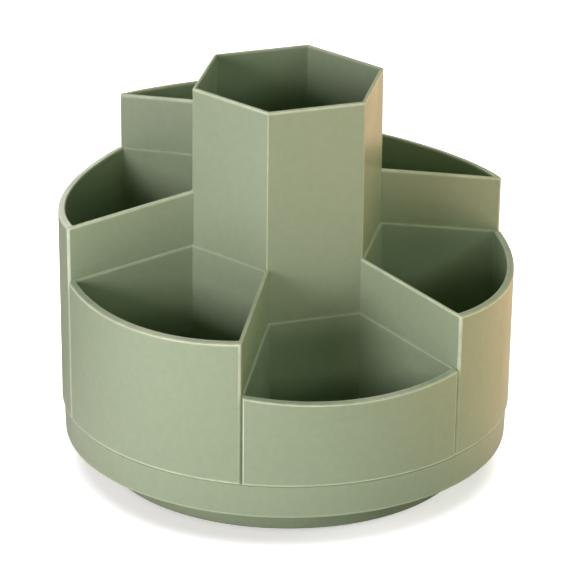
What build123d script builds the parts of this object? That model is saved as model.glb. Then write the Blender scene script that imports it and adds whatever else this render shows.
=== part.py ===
from build123d import *
import os
from math import cos, radians, sin, tan

# A rotating pen holder: six compartments step up round a hexagonal tube, and the
# whole moulding turns on a ball ring over a flat round base.
# Millimetres, heights from the desk, -Y is the front with the lowest compartment.

# Overall form
SIDES = 6
overall_height = 128.8
drum_radius = 71.5
drum_draft = 0.77
panel_bottom = 21.6
skirt_bottom = 10.3
skirt_draft = 2.5
lowest_rim = 48.9
rim_step = 18.0
rim_slope = 12.5
tube_across_flats = 54.5

# Walls of the moulding
outer_wall = 2.2
divider_wall = 1.0
tube_wall = 1.0
floor_thickness = 2.0
skirt_wall = 2.2
core_draft = 0.5
mould_ledge = 0.6

# Relief and edges of the moulding
panel_proud = 0.6
groove_width = 0.6
groove_depth = 1.1
rim_radius = 0.45
panel_corner_radius = 1.0
panel_edge_chamfer = 0.35
tube_edge_radius = 0.5
skirt_edge_chamfer = 0.6
pocket_corner_radius = 0.6

# Ball ring
ball_diameter = 5.0
ball_count = 12
ball_inset = 14.0
race_depth = 0.8
race_side_play = 0.3
ball_play = 0.03
cage_width = 8.0
cage_thickness = 1.8
pocket_play = 0.15
race_ring_width = 9.0
race_ring_height = 0.6

# Base
foot_proud = 0.8
base_inset = 10.2
base_top = 11.6
base_draft = 2.0
base_wall = 2.0
base_plate = 2.2
base_edge_chamfer = 1.0
base_rib_count = 8
base_rib_thickness = 1.4
base_rib_height = 5.5

# Pivot
boss_radius = 7.0
boss_bottom = 4.6
pivot_play = 0.05
pivot_lift = 0.3
hub_margin = 1.5
washer_radius = 10.0
washer_thickness = 1.2
screw_radius = 1.9
screw_length = 9.5
screw_play = 0.05
screw_head_radius = 4.0
screw_head_height = 2.2
screw_head_chamfer = 0.9
screw_slot_width = 1.0
screw_slot_length = 4.4
screw_slot_depth = 1.1

# Skirt gussets
gusset_count = 12
gusset_thickness = 1.2
gusset_gap = 2.5
gusset_rise = 0.8

# Feet
foot_count = 4
foot_radius = 6.0
foot_thickness = 2.4
foot_play = 0.1
foot_chamfer = 0.5
foot_inset = 12.0
foot_seat_wall = 1.6

# Levels that follow from the sizes above
ball_radius = ball_diameter / 2
ball_centre = base_top - race_depth + ball_radius
race_land = ball_centre + ball_radius - race_depth
floor_under = race_land + race_ring_height
floor_top = floor_under + floor_thickness

# Radii that follow from the sizes above
skirt_top_radius = drum_radius - panel_proud
skirt_bottom_radius = skirt_top_radius - tan(radians(skirt_draft)) * (panel_bottom - skirt_bottom)
skirt_inside_radius = skirt_bottom_radius - skirt_wall
base_radius = skirt_inside_radius - base_inset
base_top_radius = base_radius - tan(radians(base_draft)) * (base_top - foot_proud)
ball_circle_radius = base_radius - ball_inset
foot_circle_radius = base_radius - foot_inset

half_angle = 180 / SIDES
front_angle = -90


def drum_radius_at(height):
    """Radius of the panels' drafted outer face at a height."""
    return drum_radius + tan(radians(drum_draft)) * (height - panel_bottom)


def rim_height(index):
    """Height of a compartment's rim at the middle of its outer wall."""
    index = index % SIDES
    return lowest_rim + rim_step * min(index, SIDES - index)


def rim_plane(index):
    """Plane of a compartment's rim, falling outwards along +X."""
    slope = radians(rim_slope)
    return Plane(origin=(drum_radius, 0, rim_height(index)), z_dir=(sin(slope), 0, cos(slope)))


def in_place(index, shape):
    """Turn a compartment built along +X to its place round the tube."""
    return Rot(0, 0, front_angle + index * 360 / SIDES) * shape


def wedge_points(left, right, reach):
    """Corners of the wedge between two divider mid-lines, each moved outwards by its offset."""
    half = radians(half_angle)
    apex = Vector(-(left + right) / (2 * sin(half)), (left - right) / (2 * cos(half)))
    along_right = Vector(cos(half), -sin(half))
    along_left = Vector(cos(half), sin(half))
    return apex, apex + along_right * reach, apex + along_left * reach


def wedge(left, right, low, high):
    """Upright prism over the wedge between two dividers."""
    outline = make_face(Polyline(*wedge_points(left, right, 2 * drum_radius), close=True))
    return Pos(0, 0, low) * extrude(outline, high - low)


def drum(inset, low, high):
    """Drafted solid drum, inset from the panels' face."""
    return Pos(0, 0, low) * Cone(
        drum_radius_at(low) - inset,
        drum_radius_at(high) - inset,
        high - low,
        align=(Align.CENTER, Align.CENTER, Align.MIN),
    )


def stands_above(index, neighbour):
    """True where a compartment's rim is higher than its neighbour's."""
    return rim_height(index) > rim_height(neighbour)


def panel_face(block):
    """The round outer face of a panel block."""
    return block.faces().filter_by(GeomType.PLANE, reverse=True).sort_by(SortBy.AREA)[-1]


def panel_block(index):
    """Solid wedge behind one raised panel, with its rim and panel edges rounded."""
    owns_left = stands_above(index, index + 1)
    owns_right = stands_above(index, index - 1)
    reach = divider_wall / 2
    left = reach if owns_left else -reach - groove_width
    right = reach if owns_right else -reach - groove_width
    block = drum(0, panel_bottom, overall_height) & wedge(left, right, panel_bottom, overall_height)
    block = split(block, bisect_by=rim_plane(index), keep=Keep.BOTTOM)

    owned_sides = [sign for owned, sign in ((owns_left, 1), (owns_right, -1)) if owned]

    def on_owned_side(edge):
        return any(edge.center().Y * sign > 0 for sign in owned_sides)

    corners = panel_face(block).edges().filter_by(lambda e: abs(e.center().Y) > drum_radius / 4)
    corners = corners.filter_by(on_owned_side)
    if corners:
        block = fillet(corners, panel_corner_radius)
    rim = block.faces().sort_by(Axis.Z)[-1].edges()
    rim = rim.filter_by(lambda e: e.geom_type != GeomType.LINE or on_owned_side(e))
    block = fillet(rim, rim_radius)

    outer = panel_face(block)
    lip = outer.edges().sort_by(Axis.Z)[0]
    shoulders = [lip]
    for owned, sign in ((owns_left, 1), (owns_right, -1)):
        if not owned:
            shoulders.append(outer.edges().sort_by(lambda e: e.center().Y * sign)[-1])
    return chamfer(shoulders, panel_edge_chamfer)


def groove_core(index):
    """Wedge that closes the grooves behind the panels, up to the compartment's rim."""
    block = drum(groove_depth, panel_bottom, overall_height) & wedge(0, 0, panel_bottom, overall_height)
    return split(block, bisect_by=rim_plane(index), keep=Keep.BOTTOM)


def pocket(index):
    """Inside of one compartment, tapering down to its floor."""
    own = -divider_wall / 2
    other = own - mould_ledge
    left = own if stands_above(index, index + 1) else other
    right = own if stands_above(index, index - 1) else other
    face_line = tube_across_flats / 2 + mould_ledge
    top = rim_height(index) + tan(radians(rim_slope)) * (drum_radius - face_line)
    inside = Circle(drum_radius_at(rim_height(index)) - outer_wall)
    corners = wedge_points(left, right, 2 * drum_radius)
    outline = inside & make_face(Polyline(*corners, close=True))
    behind_tube = Pos(face_line, 0) * Rectangle(
        2 * drum_radius, 2 * drum_radius, align=(Align.MIN, Align.CENTER)
    )
    outline = outline & behind_tube
    outline = fillet(outline.vertices(), pocket_corner_radius)
    return extrude(Pos(0, 0, top) * outline, top - floor_top, dir=(0, 0, -1), taper=core_draft)


def hexagon(across_flats):
    """Hexagon with a corner on every divider."""
    return RegularPolygon(across_flats / 2, SIDES, major_radius=False)


def tube():
    """Outside of the hexagonal tube, with softened corners and top edge."""
    solid = Pos(0, 0, floor_under) * extrude(hexagon(tube_across_flats), overall_height - floor_under)
    uprights = solid.edges().filter_by(Axis.Z)
    rim = solid.faces().sort_by(Axis.Z)[-1].edges()
    return fillet(uprights + rim, tube_edge_radius)


def tube_space():
    """Inside of the hexagonal tube, tapering down to its floor."""
    outline = Pos(0, 0, overall_height) * hexagon(tube_across_flats - 2 * tube_wall)
    return extrude(outline, overall_height - floor_top, dir=(0, 0, -1), taper=core_draft)


def skirt():
    """Plain band below the panels, solid, with its lower edge chamfered."""
    band = Pos(0, 0, skirt_bottom) * Cone(
        skirt_bottom_radius,
        skirt_top_radius,
        panel_bottom - skirt_bottom,
        align=(Align.CENTER, Align.CENTER, Align.MIN),
    )
    return chamfer(band.faces().sort_by(Axis.Z)[0].edges(), skirt_edge_chamfer)


def disc(radius, low, high):
    """Upright cylinder on the centre line between two heights."""
    return Pos(0, 0, low) * Cylinder(radius, high - low, align=(Align.CENTER, Align.CENTER, Align.MIN))


def ring(middle_radius, width, low, high):
    """Flat ring on the centre line between two heights."""
    return disc(middle_radius + width / 2, low, high) - disc(middle_radius - width / 2, low, high)


def race_channel():
    """Ring-shaped space that the balls roll in, sunk into the base and the body alike."""
    reach = ball_radius + ball_play
    width = ball_diameter + 2 * race_side_play
    return ring(ball_circle_radius, width, ball_centre - reach, ball_centre + reach)


def underside():
    """Ball race, centre boss and skirt gussets below the floor."""
    race = ring(ball_circle_radius, race_ring_width, race_land, floor_under)
    boss = disc(boss_radius, boss_bottom, floor_under)
    inner = base_radius + gusset_gap
    gusset = Pos(inner, 0, skirt_bottom + gusset_rise) * Box(
        skirt_inside_radius + skirt_wall / 2 - inner,
        gusset_thickness,
        floor_under - skirt_bottom - gusset_rise,
        align=(Align.MIN, Align.CENTER, Align.MIN),
    )
    gussets = PolarLocations(0, gusset_count) * gusset
    return [race, boss] + list(gussets)


def organizer_body():
    """The whole moulding: drum, dividers, tube, floor and skirt in one piece."""
    blocks = []
    spaces = [tube_space()]
    for index in range(SIDES):
        blocks += [in_place(index, panel_block(index)), in_place(index, groove_core(index))]
        spaces.append(in_place(index, pocket(index)))
    body = skirt() + blocks + tube()
    body -= spaces
    body -= disc(skirt_inside_radius, skirt_bottom, floor_under)
    body += underside()
    body -= race_channel()
    body -= disc(screw_radius + screw_play, boss_bottom, boss_bottom + screw_length + screw_play)
    return body


def turntable_base():
    """Ribbed dish that stays on the desk, with the lower race and the hub for the boss."""
    dish = Pos(0, 0, foot_proud) * Cone(
        base_radius,
        base_top_radius,
        base_top - foot_proud,
        align=(Align.CENTER, Align.CENTER, Align.MIN),
    )
    dish = chamfer(dish.faces().sort_by(Axis.Z)[-1].edges(), base_edge_chamfer)
    plate_under = base_top - base_plate
    dish -= disc(base_top_radius - base_wall, foot_proud, plate_under)

    bore = boss_radius + pivot_play
    hub_bottom = boss_bottom + pivot_lift
    hub = disc(washer_radius + hub_margin, hub_bottom, plate_under)
    rib_start = washer_radius + hub_margin / 2
    rib = Pos(rib_start, 0, plate_under - base_rib_height) * Box(
        base_top_radius - base_wall / 2 - rib_start,
        base_rib_thickness,
        base_rib_height,
        align=(Align.MIN, Align.CENTER, Align.MIN),
    )
    ribs = PolarLocations(0, base_rib_count) * rib
    seat = disc(foot_radius + foot_play + foot_seat_wall, foot_proud, plate_under)
    seats = foot_places() * seat
    dish += [hub] + list(ribs) + list(seats)

    recess = disc(foot_radius + foot_play, foot_proud, foot_thickness)
    dish -= list(foot_places() * recess)
    dish -= disc(bore, foot_proud, base_top)
    dish -= race_channel()
    return dish


def foot_places():
    """Places of the feet round the base, between its ribs."""
    return PolarLocations(foot_circle_radius, foot_count, start_angle=180 / base_rib_count)


def foot():
    """One rubber foot, flat against the top of its seat."""
    pad = disc(foot_radius, 0, foot_thickness)
    return chamfer(pad.faces().sort_by(Axis.Z)[0].edges(), foot_chamfer)


def ball_places():
    """Places of the balls round the race."""
    return PolarLocations(ball_circle_radius, ball_count)


def ball_cage():
    """Flat ring with a round pocket for each ball."""
    low = ball_centre - cage_thickness / 2
    high = ball_centre + cage_thickness / 2
    hole = disc(ball_radius + pocket_play, low, high)
    return ring(ball_circle_radius, cage_width, low, high) - list(ball_places() * hole)


def bearing_ball():
    """One steel ball of the ring, at the height of its pocket."""
    return Pos(0, 0, ball_centre) * Sphere(ball_radius)


def pivot_washer():
    """Flat washer under the boss that keeps the base on."""
    return disc(washer_radius, boss_bottom - washer_thickness, boss_bottom) - disc(
        screw_radius + screw_play, boss_bottom - washer_thickness, boss_bottom
    )


def pivot_screw():
    """Pan-head screw up through the washer into the boss."""
    seat = boss_bottom - washer_thickness
    head = disc(screw_head_radius, seat - screw_head_height, seat)
    head = chamfer(head.faces().sort_by(Axis.Z)[0].edges(), screw_head_chamfer)
    slot = Pos(0, 0, seat - screw_head_height) * Box(
        screw_slot_length,
        screw_slot_width,
        screw_slot_depth,
        align=(Align.CENTER, Align.CENTER, Align.MIN),
    )
    shank = disc(screw_radius, seat, boss_bottom + screw_length)
    return head + shank - slot - Rot(0, 0, 90) * slot


def main():
    """Write every piece to its own file."""
    os.makedirs("parts", exist_ok=True)
    pieces = {
        "organizer_body": organizer_body(),
        "turntable_base": turntable_base(),
        "ball_cage": ball_cage(),
        "pivot_washer": pivot_washer(),
        "pivot_screw": pivot_screw(),
    }
    for number, place in enumerate(ball_places(), start=1):
        pieces[f"bearing_ball_{number}"] = place * bearing_ball()
    for number, place in enumerate(foot_places(), start=1):
        pieces[f"rubber_foot_{number}"] = place * foot()
    for name, piece in pieces.items():
        export_step(piece, f"parts/{name}.step")


if __name__ == "__main__":
    main()
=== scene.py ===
from math import cos, pi, radians, sin, tan

import bpy
import numpy as np
from mathutils import Matrix, Vector


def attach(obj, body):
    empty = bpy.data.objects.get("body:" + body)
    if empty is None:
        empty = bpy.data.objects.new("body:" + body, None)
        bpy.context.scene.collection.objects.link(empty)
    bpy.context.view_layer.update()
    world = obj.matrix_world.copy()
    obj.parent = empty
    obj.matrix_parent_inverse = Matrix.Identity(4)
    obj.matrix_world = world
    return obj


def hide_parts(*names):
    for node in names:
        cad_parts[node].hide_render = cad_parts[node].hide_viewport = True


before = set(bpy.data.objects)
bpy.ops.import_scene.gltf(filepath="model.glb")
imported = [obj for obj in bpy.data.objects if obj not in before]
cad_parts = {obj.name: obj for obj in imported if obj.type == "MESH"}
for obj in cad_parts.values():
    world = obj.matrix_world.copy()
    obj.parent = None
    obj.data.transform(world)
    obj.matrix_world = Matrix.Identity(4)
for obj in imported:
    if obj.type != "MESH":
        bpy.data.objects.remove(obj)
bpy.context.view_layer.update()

# Sizes of the moulding in millimetres, as in its solid
MM = 0.001
SIDES = 6
HALF_ANGLE = radians(30)
FRONT_ANGLE = radians(-90)
OVERALL_HEIGHT = 128.8
FACET_PLAY = 0.03
DRUM_RADIUS = 71.5 - FACET_PLAY
DRUM_DRAFT = tan(radians(0.77))
PANEL_BOTTOM = 21.6
LOWEST_RIM = 48.9
RIM_STEP = 18.0
RIM_ANGLE = radians(12.5)
RIM_SLOPE = tan(RIM_ANGLE)
RIM_NORMAL = np.array([sin(RIM_ANGLE), 0, cos(RIM_ANGLE)])
OUTER_WALL = 2.2
DIVIDER_HALF = 0.5
TUBE_APOTHEM = 27.25
TUBE_WALL = 1.0
CORE_DRAFT = tan(radians(0.5))
MOULD_LEDGE = 0.6
FLOOR_UNDER = 15.6
FLOOR_TOP = 17.6
GROOVE_WIDTH = 0.6
GROOVE_DEPTH = 1.1
GROOVE_SHOULDER = 0.4
GROOVE_UPRIGHT = 0.6
GROOVE_STEP = 0.01

# Roundings in millimetres
RIM_RADIUS = 0.45
PANEL_CORNER = 1.0
LIP_RADIUS = 0.4
POCKET_CORNER = 0.6
SHARPEST_CORNER = 0.05
POCKET_FLOOR = 1.2
RIM_LIP = 0.35
DIVIDER_LIP = 0.3
LEDGE_ROUND = 0.5
TUBE_EDGE = 0.5
TUBE_LIP = 0.25
TUBE_TOP_CORNER = 0.1
TUBE_INSIDE_CORNER = 0.3
TUBE_SHARPEST_CORNER = 0.02

# Skirt and underside in millimetres
SKIRT_BOTTOM = 10.3
SKIRT_TOP_RADIUS = 70.9
SKIRT_BOTTOM_RADIUS = 70.41
SKIRT_INSIDE_RADIUS = 68.21
SKIRT_EDGE = 0.8
SHADOW_CHANNEL = 0.25
CHANNEL_BOTTOM = PANEL_BOTTOM - 0.6
CHANNEL_FLOOR = PANEL_BOTTOM - 0.4
SCREW_HOLE_RADIUS = 1.95
SCREW_HOLE_TOP = 14.15
BOSS_RADIUS = 7.0
BOSS_BOTTOM = 4.6
RACE_INSIDE, RACE_OUTSIDE = 39.51, 48.51
TRACK_INSIDE, TRACK_OUTSIDE = 41.21, 46.81
RACE_BOTTOM = 15.0
TRACK_TOP = 15.83
GUSSETS = 12
GUSSET_HALF = 0.6
GUSSET_LOW, GUSSET_HIGH = 11.1, 16.2
GUSSET_START, GUSSET_END = 60.51, 69.2
GUSSET_NOSE = 0.3
GUSSET_NOSE_REACH = 1.0
GUSSET_ROOT = 0.2
GUSSET_SQUARENESS = 0.28

# Hidden places inside the walls, where the surfaces of the moulding run into each other, in millimetres
# or as shares of the back
BURIED_FLOOR = 16.4
BURIED_SIDE = -0.1
BURIED_TUBE = 31.1
BURIED_GROOVE = 0.2
BURIED_INSET = 2.2
LIP_INSET = 1.3
LIP_DROP = 0.3
SIDE_BLEND = 4.5
BACK_END = 0.016
BACK_CORNER = 0.045
SKIRT_COVER = PANEL_BOTTOM - 0.03
SKIRT_CORE_RADIUS = 69.0
SKIRT_CORE_TOP = 17.0
HOLE_END_RADIUS = 0.4
CORE_END_RADIUS = 0.5

# Painted highlight: how much an edge catches the light, where 1 is the most; a ridge fades over a height in
# millimetres
LIP_CATCH = 0.8
RIM_FLAT_CATCH = (0.8, 0.5, 0.8)
INNER_RIM_CATCH = 0.9
LEDGE_CATCH = 0.3
FAINT_RIDGE = 0.4
RIDGE_FADE = 3.0
SHOULDER_CATCH = 1.2
TUBE_CORNER_CATCH = 0.65
TUBE_TOP_CATCH = 0.7
TUBE_LIP_CATCH = 0.9
SKIRT_CATCH = 0.35

# Points along the parts of an outline, rows along the parts of a profile, and shares of a flat
SIDE_POINTS = 22
CORNER_POINTS = 12
ARC_POINTS = 84
TUBE_CORNER_POINTS = 8
TUBE_FACE_POINTS = 22
HIDDEN_POINTS = TUBE_FACE_POINTS + 2 * TUBE_CORNER_POINTS
CORNER_REST = 0.02
ARC_REST = 0.0015
HEXAGON_CORNER_POINTS = 7
HEXAGON_FLAT_POINTS = 16
ROUND_POINTS = 288
PATH_STEPS = 6
PATH_SUPPORT = 0.2
GROOVE_FLOOR_POINTS = 4
GROOVE_WALL_POINTS = 3
GROOVE_SHOULDER_POINTS = 5
GUSSET_POINTS = 32
GUSSET_NOSE_ROWS = 6
LIP_ROWS = 6
WALL_ROWS = 14
RIM_ROWS = 9
INNER_RIM_ROWS = 6
POCKET_ROWS = 16
FLOOR_EDGE_ROWS = 7
TUBE_WALL_ROWS = 21
TUBE_EDGE_ROWS = 7
TUBE_LIP_ROWS = 6
TUBE_INSIDE_ROWS = 19
FLAT_SHARES = (0.12, 0.5, 0.88)
FLOOR_SHARES = (0.97, 0.8, 0.6, 0.4, 0.2, 0.07)
SHARP_ANGLE = radians(35)

NAMES = ["front", "right_front", "right_back", "back", "left_back", "left_front"]


def eased(count, low=0.0, high=1.0):
    """Places from low to high that crowd towards both ends, as half a cosine wave."""
    return low + (high - low) * (1 - np.cos(np.linspace(0, pi, count))) / 2


def between(count, low=0.0, high=1.0):
    """Eased places without the two ends."""
    return eased(count + 2, low, high)[1:-1]


def quarter(count):
    """Angles from none to a quarter turn."""
    return np.linspace(0, pi / 2, count)


def circle(angle):
    """Points of the unit circle: cosine and sine of the angle."""
    return np.stack([np.cos(angle), np.sin(angle)], -1)


def unit(vectors):
    """Vectors divided by their length."""
    return vectors / np.linalg.norm(vectors, axis=-1, keepdims=True)


def turned(points, angle):
    """Points turned about the upright axis: x and y mixed by the angle's cosine and sine."""
    x, y, z = np.moveaxis(points, -1, 0)
    return np.stack([x * cos(angle) - y * sin(angle), x * sin(angle) + y * cos(angle), z], -1)


def swing(start, end, shares):
    """Unit vectors swung evenly from start to end: both weighted by the sine of the angle left to each."""
    angle = np.arccos(np.clip(np.sum(start * end, -1), -1, 1))[..., None]
    shares = np.asarray(shares)[:, None, None]
    wide = np.maximum(np.sin(angle), 1e-9)
    return (np.sin((1 - shares) * angle) * start + np.sin(shares * angle) * end) / wide


def joined(parts):
    """Parts of an outline one after another."""
    return np.concatenate([np.asarray(part, float) for part in parts])


def skin(name, grid, low_pole, high_pole, edge):
    """Closed surface over a grid: rows follow the profile, columns go round and close on the first, and a
    fan of triangles runs from each end row to its pole. The edge values, which set the painted highlight on
    the edges, go on the points."""
    rows, cols = grid.shape[:2]
    here = np.arange(rows * cols).reshape(rows, cols)
    after = np.roll(here, -1, axis=1)
    quads = np.stack([here[:-1], after[:-1], after[1:], here[1:]], -1).reshape(-1, 4)
    low = np.stack([after[0], here[0], np.full(cols, rows * cols)], -1)
    high = np.stack([here[-1], after[-1], np.full(cols, rows * cols + 1)], -1)
    points = np.concatenate([grid.reshape(-1, 3), [low_pole], [high_pole]]) * MM
    mesh = bpy.data.meshes.new(name)
    mesh.from_pydata(points.tolist(), [], quads.tolist() + low.tolist() + high.tolist())
    mesh.shade_smooth()
    mesh.set_sharp_from_angle(angle=SHARP_ANGLE)
    # Painted highlight on the edges: each point's value says how much of it the point gets
    touch = mesh.attributes.new("painted_edge_highlight", "FLOAT", "POINT")
    values = np.concatenate([np.broadcast_to(edge, (rows, cols)).ravel(), [0.0, 0.0]])
    touch.data.foreach_set("value", values.astype(np.float32))
    piece = bpy.data.objects.new(name, mesh)
    bpy.context.scene.collection.objects.link(piece)
    return piece


# The six compartments, each worked out with its middle along x and then turned to its place.
# Signs name the sides: -1 is the right divider and 1 the left, looking out from the tube.

def drum_radius(height):
    """Radius of the panels' face, which grows with height by the tangent of its draft."""
    return DRUM_RADIUS + DRUM_DRAFT * (height - PANEL_BOTTOM)


def rim_height(index):
    """Height of a compartment's rim at its outer wall: one step more for each place from the front."""
    return LOWEST_RIM + RIM_STEP * min(index % SIDES, SIDES - index % SIDES)


def rim_plane(index, x):
    """Height of a compartment's slanted rim plane: it falls outwards by the tangent of its angle."""
    return rim_height(index) + RIM_SLOPE * (DRUM_RADIUS - x)


def divider_axes(sign):
    """Unit vectors along and across a divider, the second pointing away from the compartment."""
    along = np.array([cos(HALF_ANGLE), sign * sin(HALF_ANGLE)])
    across = np.array([-sin(HALF_ANGLE), sign * cos(HALF_ANGLE)])
    return along, across


def on_divider(sign, offset, reach):
    """Point at an offset across a divider and a reach along it."""
    along, across = divider_axes(sign)
    return np.asarray(offset)[..., None] * across + np.asarray(reach)[..., None] * along


def beyond(radius, offset):
    """Reach along a divider at which a line at that offset meets a circle: a right triangle's side."""
    return np.sqrt(np.asarray(radius) ** 2 - np.asarray(offset) ** 2)


class PanelOutline:
    """Outside of one compartment seen from above, anticlockwise from the right side: points one corner
    radius inside the wall, directions out of the wall, and a mark where the wall is rounded. The side that
    stands above its neighbour ends in a round corner; the other ends in the groove beside the neighbour's
    divider."""

    def __init__(self, owns):
        self.owns = owns
        edge = -DIVIDER_HALF - GROOVE_WIDTH
        turn = quarter(GROOVE_SHOULDER_POINTS)
        self.groove_offsets = joined([
            np.linspace(BURIED_GROOVE - DIVIDER_HALF, edge + GROOVE_STEP, GROOVE_FLOOR_POINTS),
            [edge] * GROOVE_WALL_POINTS,
            edge - GROOVE_SHOULDER * (1 - np.cos(turn)),
        ])
        self.groove_drops = joined([
            [GROOVE_DEPTH] * GROOVE_FLOOR_POINTS,
            np.linspace(GROOVE_DEPTH - 2 * GROOVE_STEP, GROOVE_UPRIGHT, GROOVE_WALL_POINTS),
            GROOVE_SHOULDER * (1 - np.sin(turn)),
        ])
        none = np.zeros(HIDDEN_POINTS)
        plain_side = np.zeros(SIDE_POINTS)
        corner = np.ones(CORNER_POINTS)
        arc = np.ones(ARC_POINTS)
        side = {s: plain_side + owns[s] for s in owns}
        self.rounded = joined([side[-1], owns[-1] * corner, arc, owns[1] * corner, side[1], none])
        far = DRUM_RADIUS - PANEL_CORNER
        near_end = np.clip(1 - (far - eased(SIDE_POINTS, BURIED_TUBE, far)) / SIDE_BLEND, 0, 1)
        self.outer = joined([near_end, corner, arc, corner, near_end[::-1], none])
        shoulder = np.clip(SHOULDER_CATCH - self.groove_drops / GROOVE_SHOULDER, 0, 1)
        bow = np.sqrt(np.sin(np.linspace(0, pi, CORNER_POINTS)))
        right = bow if owns[-1] else shoulder
        left = bow if owns[1] else shoulder[::-1]
        self.ridge = joined([plain_side, right, 0 * arc, left, plain_side, none])
        self.corner_places = {
            -1: slice(SIDE_POINTS, SIDE_POINTS + CORNER_POINTS),
            1: slice(SIDE_POINTS + CORNER_POINTS + ARC_POINTS, SIDE_POINTS + 2 * CORNER_POINTS + ARC_POINTS),
        }

    def corner(self, sign, radius):
        """Centres and directions round one outer corner, from its side to the arc."""
        if self.owns[sign]:
            across = divider_axes(sign)[1]
            inner = DIVIDER_HALF - PANEL_CORNER
            centre = on_divider(sign, inner, beyond(radius - PANEL_CORNER, inner))
            shares = np.linspace(CORNER_REST, 1 - CORNER_REST, CORNER_POINTS)
            turn = swing(across[None], unit(centre)[None], shares)[:, 0]
            return np.broadcast_to(centre, turn.shape), turn
        offsets = self.groove_offsets
        points = on_divider(sign, offsets, beyond(radius - self.groove_drops, offsets))
        return points, unit(points)

    def side(self, sign, radius):
        """Centres and directions along one side, from the tube outwards."""
        if self.owns[sign]:
            offset = DIVIDER_HALF - PANEL_CORNER
            far = beyond(radius - PANEL_CORNER, offset)
        else:
            offset = BURIED_SIDE
            far = beyond(radius - GROOVE_DEPTH, offset)
        points = on_divider(sign, np.full(SIDE_POINTS, offset), eased(SIDE_POINTS, BURIED_TUBE, far))
        return points, np.tile(divider_axes(sign)[1], (SIDE_POINTS, 1))

    def arc(self, radius):
        """Centres and directions along the round outer wall, between the two corners."""
        ends = {}
        for sign in (-1, 1):
            centre, outward = self.corner(sign, radius)
            tip = centre[-1] + PANEL_CORNER * self.owns[sign] * outward[-1]
            ends[sign] = np.arctan2(tip[1], tip[0]) - sign * ARC_REST
        outward = circle(eased(ARC_POINTS, ends[-1], ends[1]))
        return (radius - PANEL_CORNER) * outward, outward

    def __call__(self, radius):
        """Centres and directions at one drum radius, all round. The back is straight and lies hidden in the
        tube's wall."""
        right, right_out = self.side(-1, radius)
        left, left_out = self.side(1, radius)
        near, near_out = self.corner(-1, radius)
        far, far_out = self.corner(1, radius)
        arc, arc_out = self.arc(radius)
        ends = np.linspace(BACK_END, BACK_CORNER, TUBE_CORNER_POINTS)
        middle = between(TUBE_FACE_POINTS, BACK_CORNER, 1 - BACK_CORNER)
        share = joined([ends, middle, 1 - ends[::-1]])[:, None]
        start = left[0] + PANEL_CORNER * self.owns[1] * left_out[0]
        end = right[0] + PANEL_CORNER * self.owns[-1] * right_out[0]
        back = start + share * (end - start)
        back_out = np.tile([-1.0, 0], (HIDDEN_POINTS, 1))
        centres = joined([right, near, arc, far[::-1], left[::-1], back])
        directions = joined([right_out, near_out, arc_out, far_out[::-1], left_out[::-1], back_out])
        return centres, directions


def panel_rows(index, owns):
    """Outside rows of a compartment: buried floor, lip, drafted wall and rounded rim.
    Wall points lie one corner radius out from the outline's points. The rim's edge is a smaller ball rolled
    round it, touching the wall and the slanted plane. A divider's end gets less painted highlight where a
    lower neighbour's panel stands beside it."""
    outline = PanelOutline(owns)
    none = np.zeros_like(outline.ridge)
    lower_rim = none.copy()
    for sign, place in outline.corner_places.items():
        if owns[sign]:
            lower_rim[place] = rim_height(index + sign)
    rows, edges = [], []

    def wall(heights, inset, mask):
        """One row: the outline at the mean height's radius, scaled to each point's own height and inset."""
        level = np.broadcast_to(np.asarray(heights, float), none.shape)
        radius = drum_radius(float(level.mean()))
        centres, out = outline(radius)
        flat = centres + PANEL_CORNER * outline.rounded[:, None] * out
        grow = 1 + outline.outer * ((drum_radius(level) - radius - inset) / DRUM_RADIUS)
        rows.append(np.column_stack([flat * grow[:, None], level]))
        edges.append(mask)

    def ridge(level):
        """Painted highlight values of the ridges at a height, which fade down to a faint share at the lower
        neighbour's rim.
        """
        free = np.clip((level - lower_rim) / RIDGE_FADE, 0, 1)
        return outline.ridge * (FAINT_RIDGE + (1 - FAINT_RIDGE) * free)

    wall(BURIED_FLOOR, BURIED_INSET, none)
    wall(PANEL_BOTTOM - LIP_DROP, LIP_INSET, none)
    for turn in quarter(LIP_ROWS):
        level = PANEL_BOTTOM + LIP_RADIUS * (1 - cos(turn))
        wall(level, LIP_RADIUS * (1 - sin(turn)), np.maximum(ridge(level), LIP_CATCH * outline.outer))

    top_radius = drum_radius(rim_height(index))
    centres, out = outline(top_radius)
    ball = RIM_RADIUS * outline.rounded
    centres = centres + (PANEL_CORNER * outline.rounded - ball)[:, None] * out
    centre_height = rim_plane(index, centres[:, 0]) - ball / cos(RIM_ANGLE)
    low = PANEL_BOTTOM + LIP_RADIUS
    plain = outline.rounded == 0
    wall_top = np.where(plain, centre_height - RIM_RADIUS, centre_height)
    for share in between(WALL_ROWS):
        level = low + share * (wall_top - low)
        wall(level, 0, ridge(level))

    flat_out = np.column_stack([out, none])
    shares = np.linspace(0, 1, RIM_ROWS)
    balls = swing(flat_out, np.broadcast_to(RIM_NORMAL, flat_out.shape), shares)
    middle = np.column_stack([centres, centre_height])
    rolled = middle[None] + ball[None, :, None] * balls
    rolled[:, plain, 2] = (centre_height[plain] - RIM_RADIUS) + shares[:, None] * RIM_RADIUS
    for sign, place in outline.corner_places.items():
        if not owns[sign]:
            beside = rolled[:, place.stop if sign < 0 else place.start - 1]
            rolled[:, place] = groove_top(index, middle[place, :2], beside, top_radius - GROOVE_DEPTH)
    rows += list(rolled)
    edges += [np.maximum(outline.ridge, outline.rounded)] * RIM_ROWS
    return rows, edges


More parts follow.
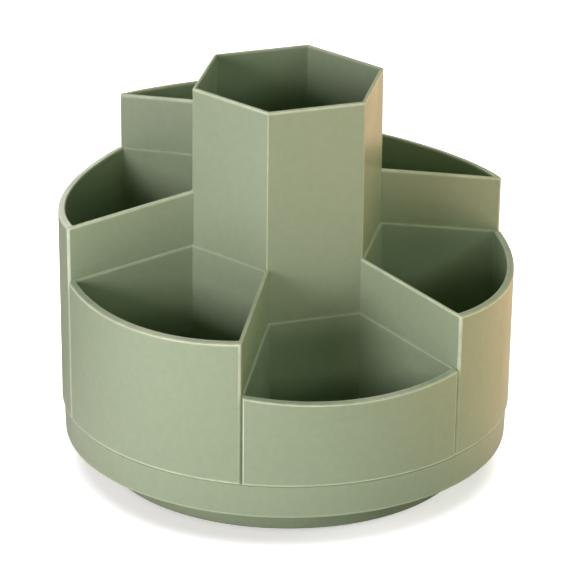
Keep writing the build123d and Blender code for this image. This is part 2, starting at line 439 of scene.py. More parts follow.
def groove_top(index, points, beside, floor):
    """Rows over a groove's top that follow the rim's rounding beside it: each point keeps its share of the
    way from the groove's floor to the panel, and drops below the rim plane as far as the rounding does."""
    radius = np.linalg.norm(points, axis=-1)
    cap = np.linalg.norm(beside[:, :2], axis=-1)[:, None]
    fitted = floor + (radius - floor) * (cap - floor) / GROOVE_DEPTH
    flat = points[None] * (fitted / radius)[..., None]
    drop = rim_plane(index, beside[:, 0]) - beside[:, 2]
    height = rim_plane(index, flat[..., 0]) - (drop - drop[-1])[:, None]
    return np.concatenate([flat, height[..., None]], -1)


def pocket_outline(index, owns, inset):
    """Inside of one compartment seen from above, drawn in by an inset at each point: its points and the
    directions into the wall. Two divider lines, the outer wall's arc and the tube's face are joined by
    round corners whose circles touch both neighbours and shrink by the inset."""
    inside = drum_radius(rim_height(index)) - OUTER_WALL
    face = TUBE_APOTHEM + MOULD_LEDGE
    lengths = [SIDE_POINTS, CORNER_POINTS, ARC_POINTS, CORNER_POINTS, SIDE_POINTS]
    lengths += [TUBE_CORNER_POINTS, TUBE_FACE_POINTS, TUBE_CORNER_POINTS]
    drawn = np.split(inset, np.cumsum(lengths)[:-1])
    by_side = {-1: (drawn[0], drawn[1], drawn[7]), 1: (drawn[4][::-1], drawn[3], drawn[5])}
    sides, corners, tube_corners, tips = {}, {}, {}, {}
    for sign, (along_side, at_corner, at_tube) in by_side.items():
        along, across = divider_axes(sign)
        line = -DIVIDER_HALF - (0 if owns[sign] else MOULD_LEDGE)

        near = at_corner.mean()
        round_off = max(POCKET_CORNER - near, SHARPEST_CORNER)
        inner = line - near - round_off
        outer_centre = on_divider(sign, inner, beyond(inside - near - round_off, inner))
        outward = unit(outer_centre)
        turn = swing(across[None], outward[None], np.linspace(0, 1, CORNER_POINTS))[:, 0]
        corners[sign] = (outer_centre + round_off * turn, turn)
        tips[sign] = np.arctan2(outward[1], outward[0])

        near = at_tube.mean()
        round_off = max(POCKET_CORNER - near, SHARPEST_CORNER)
        x = face + near + round_off
        y = sign * (line - near - round_off + sin(HALF_ANGLE) * x) / cos(HALF_ANGLE)
        tube_centre = np.array([x, y])
        turn = swing(np.array([[-1.0, 0]]), across[None], np.linspace(0, 1, TUBE_CORNER_POINTS))[:, 0]
        tube_corners[sign] = (tube_centre + round_off * turn, turn)

        reach = between(SIDE_POINTS, tube_centre @ along, outer_centre @ along)
        sides[sign] = (on_divider(sign, line - along_side, reach), np.tile(across, (SIDE_POINTS, 1)))
    outward = circle(between(ARC_POINTS, tips[-1], tips[1]))
    arc = ((inside - drawn[2])[:, None] * outward, outward)
    across_face = between(TUBE_FACE_POINTS, tube_corners[1][0][0, 1], tube_corners[-1][0][0, 1])
    tube_face = (np.column_stack([face + drawn[6], across_face]), np.tile([-1.0, 0], (TUBE_FACE_POINTS, 1)))
    left = [tuple(part[::-1] for part in pair) for pair in (corners[1], sides[1], tube_corners[1])]
    order = [sides[-1], corners[-1], arc, *left, tube_face, tube_corners[-1]]
    return joined([part[0] for part in order]), joined([part[1] for part in order])


def upper_rounding(owns):
    """Rounding of a pocket's upper edge along its outline, wider on the ledges of neighbours and tube."""
    edge = {s: DIVIDER_LIP if owns[s] else LEDGE_ROUND for s in owns}
    blend = {s: np.linspace(edge[s], RIM_LIP, CORNER_POINTS) for s in owns}
    fade = {s: np.linspace(LEDGE_ROUND, edge[s], TUBE_CORNER_POINTS) for s in owns}
    return joined([
        np.full(SIDE_POINTS, edge[-1]),
        blend[-1],
        np.full(ARC_POINTS, RIM_LIP),
        blend[1][::-1],
        np.full(SIDE_POINTS, edge[1]),
        fade[1][::-1],
        np.full(TUBE_FACE_POINTS, LEDGE_ROUND),
        fade[-1],
    ])


def pocket_rows(index, owns):
    """Inside rows of a compartment: rounded upper edge, drafted wall, rounded floor edge and floor.
    Every row is the outline drawn in by the draft's tangent times its depth. The upper edge is a ball
    rolled round it, touching the slanted plane and the wall."""
    rounding = upper_rounding(owns)
    points, out = pocket_outline(index, owns, 0 * rounding)
    top = rim_plane(index, TUBE_APOTHEM + MOULD_LEDGE)

    def drawn_in(heights, more=0.0):
        """The outline at the points' heights, drawn in by the draft and by a further inset."""
        return pocket_outline(index, owns, CORE_DRAFT * (top - heights) + more)[0]

    centre = drawn_in(rim_plane(index, points[:, 0])) + rounding[:, None] * out
    centre_height = rim_plane(index, centre[:, 0]) - rounding / cos(RIM_ANGLE)
    flat_in = np.column_stack([-out, 0 * rounding])
    shares = np.linspace(0, 1, INNER_RIM_ROWS)
    balls = swing(np.broadcast_to(RIM_NORMAL, flat_in.shape), flat_in, shares)
    ball_centres = np.column_stack([centre, centre_height])
    rows = list(ball_centres[None] + rounding[None, :, None] * balls)
    edges = [np.where(rounding > RIM_LIP, LEDGE_CATCH, INNER_RIM_CATCH)] * INNER_RIM_ROWS

    low = FLOOR_TOP + POCKET_FLOOR
    for share in between(POCKET_ROWS):
        level = centre_height + share * (low - centre_height)
        rows.append(np.column_stack([drawn_in(level), level]))
    for turn in quarter(FLOOR_EDGE_ROWS):
        level = np.full_like(rounding, FLOOR_TOP + POCKET_FLOOR * (1 - sin(turn)))
        rows.append(np.column_stack([drawn_in(level, POCKET_FLOOR * (1 - cos(turn))), level]))
    last = rows[-1]
    middle = last.mean(0)
    rows += [middle + share * (last - middle) for share in FLOOR_SHARES]
    edges += [0 * rounding] * (len(rows) - len(edges))
    return rows, edges, middle


def compartment(index):
    """One compartment: outside rows, the flat of its rim and inside rows, from floor to floor."""
    owns = {s: rim_height(index) > rim_height(index + s) for s in (-1, 1)}
    outside, outside_edge = panel_rows(index, owns)
    inside, inside_edge, middle = pocket_rows(index, owns)
    rim = [outside[-1] + share * (inside[0] - outside[-1]) for share in FLAT_SHARES]
    rim_edge = [np.full_like(inside_edge[0], catch) for catch in RIM_FLAT_CATCH]
    grid = np.stack(outside + rim + inside)
    edge = np.stack(outside_edge + rim_edge + inside_edge)
    angle = FRONT_ANGLE + index * 2 * pi / SIDES
    poles = turned(np.array([[middle[0], middle[1], BURIED_FLOOR], middle]), angle)
    return skin(f"{NAMES[index]}_compartment", turned(grid, angle), poles[0], poles[1], edge)


# The tube, the skirt and the underside

def hexagon(apothem, corner):
    """Hexagon with round corners, anticlockwise: each corner is an arc of a sixth of a turn about a point on
    its divider, and eased places fill the flats between the arcs. The ridge values of the painted highlight
    rise on the arcs."""
    directions = FRONT_ANGLE + HALF_ANGLE + np.arange(SIDES) * 2 * pi / SIDES
    turns = np.linspace(-HALF_ANGLE, HALF_ANGLE, HEXAGON_CORNER_POINTS)
    centres = (apothem - corner) / cos(HALF_ANGLE) * circle(directions)
    arcs = centres[:, None] + corner * circle(directions[:, None] + turns[None])
    shares = between(HEXAGON_FLAT_POINTS)[None, :, None]
    flats = arcs[:, -1:] + shares * (np.roll(arcs, -1, axis=0)[:, :1] - arcs[:, -1:])
    bow = np.sqrt(np.sin(np.linspace(0, pi, HEXAGON_CORNER_POINTS)))
    ridge = joined([bow, np.zeros(HEXAGON_FLAT_POINTS)])
    return np.concatenate([arcs, flats], axis=1).reshape(-1, 2), np.tile(ridge, SIDES)


def centre_tube():
    """Hexagonal tube: its outline drawn in and lifted along the wall's profile, over the rim and down
    the drafted inside to the floor."""
    rows, edges = [], []

    def ring(apothem, corner, height, catch=0.0):
        """One row: the hexagon at a height, with the painted highlight given or that of its upright edges.
        """
        outline, ridge = hexagon(apothem, corner)
        rows.append(np.column_stack([outline, np.full(len(outline), height)]))
        upright = TUBE_CORNER_CATCH if corner == TUBE_EDGE else 0.0
        edges.append(np.maximum(upright * ridge, catch))

    shoulder = OVERALL_HEIGHT - TUBE_EDGE
    for height in eased(TUBE_WALL_ROWS + 1, BURIED_FLOOR, shoulder)[:-1]:
        ring(TUBE_APOTHEM, TUBE_EDGE, height)
    for turn in quarter(TUBE_EDGE_ROWS):
        drawn = TUBE_EDGE * (1 - cos(turn))
        corner = max(TUBE_EDGE - drawn, TUBE_SHARPEST_CORNER)
        ring(TUBE_APOTHEM - drawn, corner, shoulder + TUBE_EDGE * sin(turn), 1.0)
    outer_top = TUBE_APOTHEM - TUBE_EDGE
    inner = TUBE_APOTHEM - TUBE_WALL
    for share in FLAT_SHARES:
        apothem = outer_top + share * (inner + TUBE_LIP - outer_top)
        ring(apothem, TUBE_TOP_CORNER, OVERALL_HEIGHT, TUBE_TOP_CATCH)
    for turn in quarter(TUBE_LIP_ROWS):
        height = OVERALL_HEIGHT - TUBE_LIP * (1 - cos(turn))
        ring(inner + TUBE_LIP * (1 - sin(turn)), TUBE_INSIDE_CORNER, height, TUBE_LIP_CATCH)
    low = FLOOR_TOP + POCKET_FLOOR
    for height in eased(TUBE_INSIDE_ROWS + 1, OVERALL_HEIGHT - TUBE_LIP, low)[1:]:
        ring(inner - CORE_DRAFT * (OVERALL_HEIGHT - height), TUBE_INSIDE_CORNER, height)
    bottom = inner - CORE_DRAFT * (OVERALL_HEIGHT - FLOOR_TOP)
    for turn in quarter(FLOOR_EDGE_ROWS)[1:]:
        ring(bottom - POCKET_FLOOR * (1 - cos(turn)), TUBE_INSIDE_CORNER, low - POCKET_FLOOR * sin(turn))
    for share in FLOOR_SHARES:
        ring((bottom - POCKET_FLOOR) * share, TUBE_INSIDE_CORNER * share, FLOOR_TOP)
    return skin("centre_tube", np.stack(rows), (0, 0, BURIED_FLOOR), (0, 0, FLOOR_TOP), np.stack(edges))


def rounded_path(corners, radii):
    """Path through corners with each one rounded: its arc's centre lies on the corner's bisector, one
    radius over the sine of half the corner's angle away. A point just before and after each arc keeps
    the straight runs flat."""
    here, radii = corners[1:-1], radii[1:-1, None]
    before = unit(corners[:-2] - here)
    after = unit(corners[2:] - here)
    half = np.arccos(np.clip(np.sum(before * after, -1), -1, 1))[:, None] / 2
    back = radii / np.tan(half)
    centre = here + unit(before + after) * radii / np.sin(half)
    start = (here + before * back - centre) / radii
    end = (here + after * back - centre) / radii
    arc = centre[None] + radii[None] * swing(start, end, np.linspace(0, 1, PATH_STEPS))
    length = np.linalg.norm(np.diff(corners, axis=0), axis=-1)[:, None]
    held = np.concatenate([[[0.0]], back, [[0.0]]])
    room = np.minimum(PATH_SUPPORT, (length - held[:-1] - held[1:]) / 3)
    lead = here + before * (back + room[:-1])
    tail = here + after * (back + room[1:])
    path = np.concatenate([lead[None], arc, tail[None]]).transpose(1, 0, 2).reshape(-1, 2)
    return np.concatenate([corners[:1], path, corners[-1:]])


def skirt_band():
    """Plain band and underside: a rounded path carried round the upright axis. The profile's rows give
    radius, height and rounding. It goes from the screw hole down the boss, out along the floor and over the
    ball race, down and up the skirt, and back inside the floor. The skirt's lower edge gets a painted
    highlight."""
    channel = SKIRT_TOP_RADIUS - SHADOW_CHANNEL
    profile = np.array([
        (HOLE_END_RADIUS, SCREW_HOLE_TOP, 0.1),
        (SCREW_HOLE_RADIUS, SCREW_HOLE_TOP, 0.1),
        (SCREW_HOLE_RADIUS, BOSS_BOTTOM, 0.2),
        (BOSS_RADIUS, BOSS_BOTTOM, 0.3),
        (BOSS_RADIUS, FLOOR_UNDER, 0.4),
        (RACE_INSIDE, FLOOR_UNDER, 0.2),
        (RACE_INSIDE, RACE_BOTTOM, 0.15),
        (TRACK_INSIDE, RACE_BOTTOM, 0.15),
        (TRACK_INSIDE, TRACK_TOP, 0.15),
        (TRACK_OUTSIDE, TRACK_TOP, 0.15),
        (TRACK_OUTSIDE, RACE_BOTTOM, 0.15),
        (RACE_OUTSIDE, RACE_BOTTOM, 0.15),
        (RACE_OUTSIDE, FLOOR_UNDER, 0.2),
        (SKIRT_INSIDE_RADIUS, FLOOR_UNDER, 0.5),
        (SKIRT_INSIDE_RADIUS, SKIRT_BOTTOM, 0.4),
        (SKIRT_BOTTOM_RADIUS, SKIRT_BOTTOM, SKIRT_EDGE),
        (SKIRT_TOP_RADIUS, CHANNEL_BOTTOM, 0.12),
        (channel, CHANNEL_FLOOR, 0.12),
        (channel, SKIRT_COVER, 0.05),
        (SKIRT_CORE_RADIUS, SKIRT_COVER, 0.1),
        (SKIRT_CORE_RADIUS, SKIRT_CORE_TOP, 0.1),
        (CORE_END_RADIUS, SKIRT_CORE_TOP, 0.1),
    ])
    radii = profile[:, 2]
    path = rounded_path(profile[:, :2], radii)
    ring = circle(np.arange(ROUND_POINTS) * 2 * pi / ROUND_POINTS)
    height = np.broadcast_to(path[:, None, 1:], (len(path), ROUND_POINTS, 1))
    grid = np.concatenate([path[:, None, :1] * ring[None], height], -1)
    on_arc = joined([[0], np.ones(PATH_STEPS), [0]])
    marks = np.outer(radii[1:-1] == SKIRT_EDGE, on_arc).ravel()
    edge = SKIRT_CATCH * joined([[0], marks, [0]])[:, None]
    return skin("skirt_band", grid, (0, 0, SCREW_HOLE_TOP), (0, 0, SKIRT_CORE_TOP), edge)


def skirt_gussets():
    """Thin ribs between skirt and floor: a rounded rectangle across, carried inwards in straight steps,
    with its nose drawn in by a quarter circle. The rectangle is a circle whose cosine and sine are raised
    to a small power."""
    middle = (GUSSET_LOW + GUSSET_HIGH) / 2
    square = circle(np.linspace(2 * pi, 0, GUSSET_POINTS, endpoint=False))
    square = np.sign(square) * np.abs(square) ** GUSSET_SQUARENESS
    nose = quarter(GUSSET_NOSE_ROWS)
    straight = [GUSSET_END, GUSSET_END - GUSSET_ROOT, GUSSET_START + GUSSET_NOSE_REACH]
    reach = joined([straight, GUSSET_START + GUSSET_NOSE * (1 - np.sin(nose))])
    inset = joined([[0, 0, 0], GUSSET_NOSE * (1 - np.cos(nose))])
    half = np.array([GUSSET_HALF, (GUSSET_HIGH - GUSSET_LOW) / 2])
    across = square[None] * (half[None, None] - inset[:, None, None])
    along = np.broadcast_to(reach[:, None, None], across.shape[:2] + (1,))
    grid = np.concatenate([along, across + [0, middle]], -1)
    poles = np.array([[GUSSET_END, 0, middle], [GUSSET_START, 0, middle]])
    pieces = []
    for number in range(GUSSETS):
        angle = number * 2 * pi / GUSSETS
        pieces.append(skin(f"skirt_gusset_{number + 1}", turned(grid, angle), *turned(poles, angle), 0.0))
    return pieces


# Shader nodes and the groups that the finishes share

NUMBER, COLOR = "NodeSocketFloat", "NodeSocketColor"

# Features to the metre
MOTTLE, SPECK, GLOSS_PATCH, GRAIN, WAVE = 26, 420, 55, 2600, 38
EDGE_BREAK, DUST_PATCH = 140, 190
METAL_TONE, METAL_GLOSS, METAL_MARKS = 600, 1500, 5200
RUBBER_BLOOM, RUBBER_GLOSS, RUBBER_STIPPLE = 380, 900, 3600

# Heights of bumps in metres, and the waves' share of the grain
GRAIN_HEIGHT = 0.000012
WAVE_TO_GRAIN = 4.0
STIPPLE_HEIGHT = 0.00003


def node_group(name, inputs, outputs):
    """Empty shader node group with its named sockets and end nodes."""
    group = bpy.data.node_groups.new(name, "ShaderNodeTree")
    for socket, kind, value in inputs:
        made = group.interface.new_socket(socket, in_out="INPUT", socket_type=kind)
        made.default_value = value
    for socket, kind in outputs:
        group.interface.new_socket(socket, in_out="OUTPUT", socket_type=kind)
    return group, group.nodes.new("NodeGroupInput"), group.nodes.new("NodeGroupOutput")


def feed(tree, socket, value):
    """A socket fed by another socket, or set to a number or colour."""
    if isinstance(value, (int, float)):
        socket.default_value = value
    elif isinstance(value, tuple):
        socket.default_value = (*value, 1.0)
    else:
        tree.links.new(value, socket)


def noise(tree, coordinates, scale, detail=2.0, rough=0.5):
    """Noise on object coordinates; the scale counts features to the metre."""
    node = tree.nodes.new("ShaderNodeTexNoise")
    node.inputs["Scale"].default_value = scale
    node.inputs["Detail"].default_value = detail
    node.inputs["Roughness"].default_value = rough
    tree.links.new(coordinates, node.inputs["Vector"])
    return node.outputs["Fac"]


def math_node(tree, kind, a, b, clamp=False):
    """One math node on values or sockets."""
    node = tree.nodes.new("ShaderNodeMath")
    node.operation = kind
    node.use_clamp = clamp
    feed(tree, node.inputs[0], a)
    feed(tree, node.inputs[1], b)
    return node.outputs[0]


def spread(tree, value, low, high, to_low=0.0, to_high=1.0):
    """Value stretched from one range to another and held at its ends."""
    node = tree.nodes.new("ShaderNodeMapRange")
    sockets = ("Value", "From Min", "From Max", "To Min", "To Max")
    for socket, number in zip(sockets, (value, low, high, to_low, to_high)):
        feed(tree, node.inputs[socket], number)
    return node.outputs["Result"]


def mixed(tree, share, a, b, blend="MIX"):
    """Two colours mixed by a share."""
    node = tree.nodes.new("ShaderNodeMix")
    node.data_type = "RGBA"
    node.blend_type = blend
    for socket, value in ((node.inputs["Factor"], share), (node.inputs[6], a), (node.inputs[7], b)):
        feed(tree, socket, value)
    return node.outputs[2]


def object_coordinates(tree):
    """Object coordinates socket."""
    return tree.nodes.new("ShaderNodeTexCoord").outputs["Object"]


def split_axes(tree, vector):
    """The three axes of a vector socket."""
    node = tree.nodes.new("ShaderNodeSeparateXYZ")
    tree.links.new(vector, node.inputs[0])
    return node.outputs


def make_moulded_surface():
    """Moulded plastic: slow mottling of the pigment, fine grain and slow waves for the bump, and patches of
    more or less gloss."""
    group, start, end = node_group(
        "moulded_surface",
        [
            ("Color", COLOR, (0.4, 0.45, 0.3, 1)),
            ("Deep Color", COLOR, (0.36, 0.41, 0.27, 1)),
            ("Gloss Low", NUMBER, 0.3),
            ("Gloss High", NUMBER, 0.42),
            ("Grain", NUMBER, 1.0),
        ],
        [("Color", COLOR), ("Roughness", NUMBER), ("Height", NUMBER)],
    )
    given = start.outputs
    place = object_coordinates(group)
    share = spread(group, noise(group, place, MOTTLE, 3.0), 0.3, 0.7)
    color = mixed(group, share, given["Color"], given["Deep Color"])
    speck = spread(group, noise(group, place, SPECK), 0.35, 0.65, 0.975, 1.025)
    shade = group.nodes.new("ShaderNodeCombineColor")
    for channel in ("Red", "Green", "Blue"):
        group.links.new(speck, shade.inputs[channel])
    color = mixed(group, 1.0, color, shade.outputs[0], "MULTIPLY")
    group.links.new(color, end.inputs["Color"])
    patch = noise(group, place, GLOSS_PATCH, 3.0)
    gloss = spread(group, patch, 0.32, 0.68, given["Gloss Low"], given["Gloss High"])
    group.links.new(gloss, end.inputs["Roughness"])
    grain = math_node(group, "MULTIPLY", noise(group, place, GRAIN, 2.0, 0.6), given["Grain"])
    wave = math_node(group, "MULTIPLY", noise(group, place, WAVE, 1.0), WAVE_TO_GRAIN)
    group.links.new(math_node(group, "ADD", grain, wave), end.inputs["Height"])
    return group


def make_painted_edge_highlight():
    """Painted highlight on edges: the points' edge values, broken up a little by noise, mix in a paler
    colour where the rounded edges would catch the light."""
    group, start, end = node_group(
        "painted_edge_highlight",
        [
            ("Color", COLOR, (0.4, 0.45, 0.3, 1)),
            ("Edge Color", COLOR, (0.5, 0.54, 0.38, 1)),
            ("Amount", NUMBER, 0.6),
        ],
        [("Color", COLOR), ("Mask", NUMBER)],
    )
    touch = group.nodes.new("ShaderNodeAttribute")
    touch.attribute_name = "painted_edge_highlight"
    patch = noise(group, object_coordinates(group), EDGE_BREAK, 4.0, 0.6)
    broken = spread(group, patch, 0.3, 0.62, 0.55, 1.0)
    mask = math_node(group, "MULTIPLY", touch.outputs["Fac"], broken)
    mask = math_node(group, "MULTIPLY", mask, start.outputs["Amount"], clamp=True)
    color = mixed(group, mask, start.outputs["Color"], start.outputs["Edge Color"])
    group.links.new(color, end.inputs["Color"])
    group.links.new(mask, end.inputs["Mask"])
    return group


def make_settled_dust():
    """Thin dust where a surface faces up: the normal's height, thinned by noise, mixes in a pale colour."""
    group, start, end = node_group(
        "settled_dust",
        [
            ("Color", COLOR, (0.4, 0.45, 0.3, 1)),
            ("Dust Color", COLOR, (0.6, 0.58, 0.52, 1)),
            ("Amount", NUMBER, 0.1),
        ],
        [("Color", COLOR), ("Mask", NUMBER)],
    )
    normal = group.nodes.new("ShaderNodeNewGeometry").outputs["Normal"]
    facing = spread(group, split_axes(group, normal)["Z"], 0.55, 1.0)
    patch = spread(group, noise(group, object_coordinates(group), DUST_PATCH, 5.0, 0.65), 0.4, 0.72)
    mask = math_node(group, "MULTIPLY", facing, patch)
    mask = math_node(group, "MULTIPLY", mask, start.outputs["Amount"], clamp=True)
    color = mixed(group, mask, start.outputs["Color"], start.outputs["Dust Color"])
    group.links.new(color, end.inputs["Color"])
    group.links.new(mask, end.inputs["Mask"])
    return group


MOULDED = make_moulded_surface()
PAINTED_HIGHLIGHT = make_painted_edge_highlight()
DUST = make_settled_dust()


def placed(tree, group, **values):
    """A node group placed in a material with its own values."""
    node = tree.nodes.new("ShaderNodeGroup")
    node.node_tree = group
    for name, value in values.items():
        feed(tree, node.inputs[name.replace("_", " ").title()], value)
    return node


def blank_material(name):
    """Material with its node tree and Principled shader."""
    material = bpy.data.materials.new(name)
    material.use_nodes = True
    tree = material.node_tree
    return material, tree, tree.nodes["Principled BSDF"]


def bump(tree, shader, height, distance):
    """Bump of a height socket into the shader's normal."""
    node = tree.nodes.new("ShaderNodeBump")
    node.inputs["Distance"].default_value = distance
    node.inputs["Strength"].default_value = 1.0
    tree.links.new(height, node.inputs["Height"])
    tree.links.new(node.outputs["Normal"], shader.inputs["Normal"])


def moulded_plastic(name, color, deep, edge, gloss, grain, dust, edge_amount):
    """Satin moulded plastic from the three shared groups; dust dulls it."""
    material, tree, shader = blank_material(name)
    surface = placed(
        tree, MOULDED, color=color, deep_color=deep, gloss_low=gloss[0], gloss_high=gloss[1], grain=grain
    )
    # Painted highlight: a paler colour mixed in along the rounded edges
    highlighted = placed(tree, PAINTED_HIGHLIGHT, edge_color=edge, amount=edge_amount)
    dusty = placed(tree, DUST, dust_color=(0.55, 0.54, 0.47), amount=dust)
    tree.links.new(surface.outputs["Color"], highlighted.inputs["Color"])
    tree.links.new(highlighted.outputs["Color"], dusty.inputs["Color"])
    tree.links.new(dusty.outputs["Color"], shader.inputs["Base Color"])
    dull = math_node(tree, "MULTIPLY", dusty.outputs["Mask"], 0.5)
    rough = math_node(tree, "ADD", surface.outputs["Roughness"], dull, clamp=True)
    tree.links.new(rough, shader.inputs["Roughness"])
    bump(tree, shader, surface.outputs["Height"], GRAIN_HEIGHT)
    shader.inputs["IOR"].default_value = 1.49
    shader.inputs["Specular IOR Level"].default_value = 0.5
    return material


def bright_metal(name, color, dull, gloss, marks):
    """Plain metal: slightly uneven colour and gloss, with fine marks in the bump."""
    material, tree, shader = blank_material(name)
    place = object_coordinates(tree)
    tone = spread(tree, noise(tree, place, METAL_TONE, 4.0), 0.3, 0.7)
    tree.links.new(mixed(tree, tone, color, dull), shader.inputs["Base Color"])
    shader.inputs["Metallic"].default_value = 1.0
    rough = spread(tree, noise(tree, place, METAL_GLOSS, 3.0), 0.3, 0.7, *gloss)
    tree.links.new(rough, shader.inputs["Roughness"])
    bump(tree, shader, noise(tree, place, METAL_MARKS), marks)
    return material


def soft_rubber(name):
    """Matt rubber: dark, with a dry bloom and a fine stipple."""
    material, tree, shader = blank_material(name)
    place = object_coordinates(tree)
    bloom = spread(tree, noise(tree, place, RUBBER_BLOOM, 4.0), 0.35, 0.75)
    color = mixed(tree, bloom, (0.028, 0.028, 0.027), (0.06, 0.06, 0.057))
    dusty = placed(tree, DUST, dust_color=(0.3, 0.29, 0.27), amount=0.2)
    tree.links.new(color, dusty.inputs["Color"])
    tree.links.new(dusty.outputs["Color"], shader.inputs["Base Color"])
    rough = spread(tree, noise(tree, place, RUBBER_GLOSS), 0.3, 0.7, 0.72, 0.9)
    tree.links.new(rough, shader.inputs["Roughness"])
    bump(tree, shader, noise(tree, place, RUBBER_STIPPLE), STIPPLE_HEIGHT)
    return material


sage = moulded_plastic(
    "sage_plastic",
    color=(0.327, 0.434, 0.273),
    deep=(0.318, 0.422, 0.263),
    # The edge colour is the colour of the painted highlight
    edge=(0.7, 0.85, 0.6),
    gloss=(0.28, 0.38),
    grain=1.0,
    dust=0.1,
    edge_amount=0.9,
)
# A darker copy of the body's sage plastic: painted shade for the base, which sits in shadow under the skirt
base_sage_painted_shade = moulded_plastic(
    "base_plastic",
    color=(0.284, 0.382, 0.233),
    deep=(0.27, 0.362, 0.218),
    edge=(0.39, 0.48, 0.32),
    gloss=(0.34, 0.44),
    grain=1.0,
    dust=0.1,
    edge_amount=0.5,
)
acetal = moulded_plastic(
    "acetal_plastic",
    color=(0.72, 0.71, 0.66),
    deep=(0.67, 0.66, 0.6),
    edge=(0.8, 0.79, 0.74),
    gloss=(0.4, 0.52),
    grain=0.7,
    dust=0.08,
    edge_amount=0.3,
)
ball_steel = bright_metal(
    "ball_steel", color=(0.62, 0.62, 0.63), dull=(0.5, 0.5, 0.52), gloss=(0.05, 0.12), marks=0.000001
)
zinc = bright_metal(
    "zinc_plate", color=(0.56, 0.56, 0.55), dull=(0.44, 0.45, 0.46), gloss=(0.24, 0.4), marks=0.000008
)
rubber = soft_rubber("foot_rubber")

# The moulding's surfaces, in place of its solid
moulding = [compartment(index) for index in range(SIDES)]
moulding += [centre_tube(), skirt_band()] + skirt_gussets()
for piece in moulding:
    piece.data.materials.append(sage)
    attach(piece, "organizer")
    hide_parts("organizer_body")

# Finishes on the carried-over solids, by the start of their names
finishes = {
    "organizer_body": sage,
    "turntable_base": base_sage_painted_shade,
    "ball_cage": acetal,
    "bearing_ball": ball_steel,
    "pivot": zinc,
    "rubber_foot": rubber,
}
for name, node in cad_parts.items():
    finish = next(finish for start, finish in finishes.items() if name.startswith(start))
    node.data.materials.clear()
    node.data.materials.append(finish)


# Floor, light and camera, in metres and degrees

FLOOR_REACH = 3
FLOOR_POINTS = 9
FLOOR_HEIGHT = -0.0002
FLOOR_GLOW = 0.45
FLOOR_WHITE = (0.95, 0.95, 0.95)
# Floor colours for bounced light: painted light on the left and right, painted shade behind
BOUNCE_LEFT = (1.0, 0.92, 0.955)
BOUNCE_MIDDLE = (0.5, 0.46, 0.475)
BOUNCE_BEHIND = (0.172, 0.16, 0.164)
BOUNCE_RIGHT = (0.87, 0.59, 0.42)
LEFT_TO_MIDDLE = (-0.3, 0.02)
FRONT_TO_BEHIND = (-0.03, 0.09)
MIDDLE_TO_RIGHT = (0.045, 0.13)
REFLECTED_WHITE = 0.5
FAINT_LIGHT = 0.005
LAMP_AIM = Vector((0, 0, 0.06))


def studio_floor():
    """Wide flat floor just under the feet: a square grid of points at one height. It is white to the camera.
    To the light that it throws back on the object it is grey, with painted light and shade: palest on the
    left, darker behind and warm on the right."""
    reach = np.linspace(-FLOOR_REACH, FLOOR_REACH, FLOOR_POINTS)
    x, y = np.meshgrid(reach, reach, indexing="xy")
    points = np.stack([x, y, np.full_like(x, FLOOR_HEIGHT)], -1).reshape(-1, 3)
    here = np.arange(FLOOR_POINTS**2).reshape(FLOOR_POINTS, FLOOR_POINTS)
    quads = np.stack([here[:-1, :-1], here[:-1, 1:], here[1:, 1:], here[1:, :-1]], -1).reshape(-1, 4)
    mesh = bpy.data.meshes.new("studio_floor")
    mesh.from_pydata(points.tolist(), [], quads.tolist())
    floor = bpy.data.objects.new("studio_floor", mesh)
    bpy.context.scene.collection.objects.link(floor)
    material, tree, shader = blank_material("floor_paint")
    axes = split_axes(tree, object_coordinates(tree))
    bounce = mixed(tree, spread(tree, axes["X"], *LEFT_TO_MIDDLE), BOUNCE_LEFT, BOUNCE_MIDDLE)
    bounce = mixed(tree, spread(tree, axes["Y"], *FRONT_TO_BEHIND), bounce, BOUNCE_BEHIND)
    bounce = mixed(tree, spread(tree, axes["X"], *MIDDLE_TO_RIGHT), bounce, BOUNCE_RIGHT)
    seen = tree.nodes.new("ShaderNodeLightPath").outputs["Is Camera Ray"]
    tree.links.new(mixed(tree, seen, bounce, FLOOR_WHITE), shader.inputs["Base Color"])
    shader.inputs["Roughness"].default_value = 0.9
    shader.inputs["Specular IOR Level"].default_value = 0.0
    shader.inputs["Emission Color"].default_value = (1.0, 1.0, 1.0, 1.0)
    tree.links.new(math_node(tree, "MULTIPLY", seen, FLOOR_GLOW), shader.inputs["Emission Strength"])
    floor.data.materials.append(material)
    return floor


def studio_world():
    """White to the camera, half as bright in reflections, and a faint even light on the object."""
    world = bpy.data.worlds.new("studio_world")
    bpy.context.scene.world = world
    world.use_nodes = True
    tree = world.node_tree
    back = tree.nodes["Background"]
    back.inputs["Color"].default_value = (1, 1, 1, 1)
    path = tree.nodes.new("ShaderNodeLightPath").outputs
    seen = math_node(tree, "ADD", path["Is Camera Ray"], path["Is Transmission Ray"], clamp=True)
    gloss = math_node(tree, "MULTIPLY", path["Is Glossy Ray"], REFLECTED_WHITE)
    level = math_node(tree, "MAXIMUM", math_node(tree, "MAXIMUM", seen, gloss), FAINT_LIGHT)
    tree.links.new(level, back.inputs["Strength"])


def soft_box(name, around, lift, away, size, power, color):
    """Rectangular area lamp that faces the object: its place by direction round, angle up and distance."""
    lamp = bpy.data.lights.new(name, "AREA")
    lamp.shape = "RECTANGLE"
    lamp.size, lamp.size_y = size
    lamp.energy = power
    lamp.color = color
    lamp_object = bpy.data.objects.new(name, lamp)
    bpy.context.scene.collection.objects.link(lamp_object)
    around, lift = radians(around), radians(lift)
    outward = Vector((cos(lift) * cos(around), cos(lift) * sin(around), sin(lift)))
    lamp_object.location = LAMP_AIM + away * outward
    lamp_object.rotation_euler = (-outward).to_track_quat("-Z", "Y").to_euler()
    return lamp_object


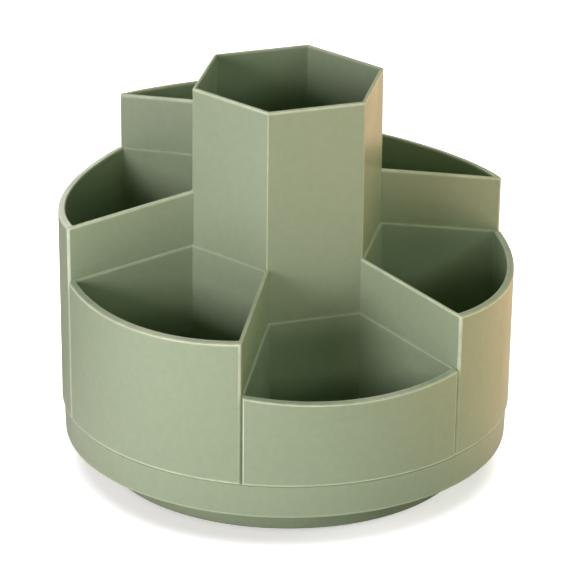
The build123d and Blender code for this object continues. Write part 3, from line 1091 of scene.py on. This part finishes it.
def table_light(floor):
    """Wide lamp straight above that lights the floor alone, so that the floor is white round its shadow."""
    white = (1.0, 1.0, 1.0)
    lamp = soft_box("table_light", around=0, lift=90, away=2.5, size=(3.0, 3.0), power=93, color=white)
    lit = bpy.data.collections.new("lit_by_table_light")
    lit.objects.link(floor)
    lamp.light_linking.receiver_collection = lit


def photo_camera():
    """Camera at the photograph's viewing angle: distance, height angle, direction and roll from a fit of the
    rims, tube corners and base."""
    aim = Vector((0, 0, 0.05798))
    away, lift, turn, roll = 1.456477, radians(23.139), radians(-108.709), radians(0.637)
    back = Vector((cos(lift) * cos(turn), cos(lift) * sin(turn), sin(lift)))
    right = Vector((-sin(turn), cos(turn), 0))
    up = back.cross(right)
    level_right = cos(roll) * right + sin(roll) * up
    level_up = -sin(roll) * right + cos(roll) * up
    camera = bpy.data.objects.new("photo_camera", bpy.data.cameras.new("photo_camera"))
    bpy.context.scene.collection.objects.link(camera)
    camera.data.sensor_width = 36
    camera.data.lens = 287.77
    camera.data.clip_start, camera.data.clip_end = 0.05, 20
    matrix = Matrix((level_right, level_up, back)).transposed().to_4x4()
    matrix.translation = aim + away * back
    camera.matrix_world = matrix
    bpy.context.scene.camera = camera


table_light(studio_floor())
studio_world()
soft_box("key_light", around=-153, lift=12, away=1.6, size=(0.66, 0.56), power=14.1, color=(1.0, 0.86, 0.95))
soft_box("front_light", around=-95, lift=17, away=1.6, size=(1.3, 0.28), power=2.66, color=(1.0, 0.94, 0.79))
soft_box("front_fill", around=-32, lift=26, away=1.6, size=(0.86, 0.46), power=3.95, color=(0.93, 1.0, 0.9))
soft_box("back_light", around=72, lift=44, away=1.6, size=(1.1, 0.6), power=5.0, color=(1.0, 0.93, 0.7))
soft_box("rear_light", around=100, lift=13, away=1.6, size=(1.0, 0.4), power=5.4, color=(1.0, 0.94, 0.92))
soft_box("warm_light", around=8, lift=11, away=1.6, size=(0.86, 0.31), power=2.15, color=(1.0, 0.68, 0.22))
soft_box("top_light", around=0, lift=90, away=1.5, size=(0.3, 0.3), power=1.6, color=(1.0, 0.93, 0.8))
photo_camera()
bpy.context.scene.view_settings.view_transform = "Standard"
